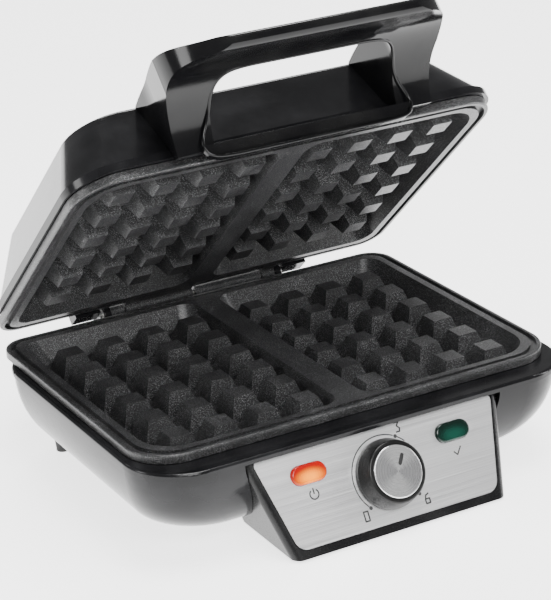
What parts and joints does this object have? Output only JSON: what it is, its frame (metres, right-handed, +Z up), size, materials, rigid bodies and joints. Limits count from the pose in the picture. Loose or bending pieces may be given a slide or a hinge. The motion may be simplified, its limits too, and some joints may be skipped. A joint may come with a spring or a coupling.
{
  "type": "waffle maker",
  "caption": "Countertop waffle maker with a hinged lid, deep-pocket grill plates, a loop handle and a heat dial on a sloping front panel.",
  "frame": {"origin": "on the table, under the middle of the machine's bounding box", "axes": "+Z up, -Y towards the cook, who faces the dial; +X to the cook's right"},
  "size_m": [0.248, 0.2388, 0.2482],
  "materials": {
    "black_gloss": "gloss black moulded plastic",
    "black_shell": "gloss black heat-resistant moulding",
    "black_satin": "satin black moulded plastic",
    "plate_coating": "speckled dark non-stick coating on a casting",
    "panel_steel": "horizontally brushed",
    "cap_metal": "spun finish",
    "lens_red": "translucent red",
    "lens_green": "translucent dark green",
    "lamp_glass": "clear",
    "steel": "zinc plated",
    "element_sheath": "heat-dulled sheath",
    "tray_metal": "bright rolled sheet",
    "brass": "machined",
    "white_plastic": "natural moulded",
    "pad_rubber": "moulded"
  },
  "bodies": {
    "base": {"base_housing": "black_shell", "base_cover": "black_satin", "cover_screws": "steel", "rear_feet": "black_satin", "foot_pads": "pad_rubber", "cord_gland": "black_satin", "terminal_block": "white_plastic", "thermal_fuse": "steel", "control_housing": "black_satin", "control_panel": "panel_steel", "power_lens": "lens_red", "ready_lens": "lens_green", "power_lamp": "lamp_glass", "ready_lamp": "lamp_glass", "thermostat": "steel", "thermostat_nut": "brass", "lower_plate": "plate_coating", "lower_element": "element_sheath", "lower_element_clips": "steel", "lower_reflector": "tray_metal", "lower_tray_screws": "steel", "hinge_pin": "steel", "hinge_clip": "steel"},
    "knob": {"knob_body": "black_satin", "knob_cap": "cap_metal", "knob_pointer": "black_satin", "thermostat_shaft": "brass"},
    "lid": {"lid_cover": "black_shell", "lid_screws": "steel", "handle": "black_gloss", "handle_screws": "steel", "upper_plate": "plate_coating", "upper_element": "element_sheath", "upper_element_clips": "steel", "upper_reflector": "tray_metal", "upper_tray_screws": "steel"}
  },
  "joints": [
    {"name": "lid_hinge", "type": "hinge", "parent": "base", "child": "lid", "pos_m": [0, 0.10182, 0.055], "axis": [-1, 0, 0], "range_deg": [-42.5, 57.5]},
    {"name": "knob_turn", "type": "hinge", "parent": "base", "child": "knob", "pos_m": [0, -0.1026, 0.02583], "axis": [0, -0.8712, 0.4909], "range_deg": [-103, 165]}
  ]
}
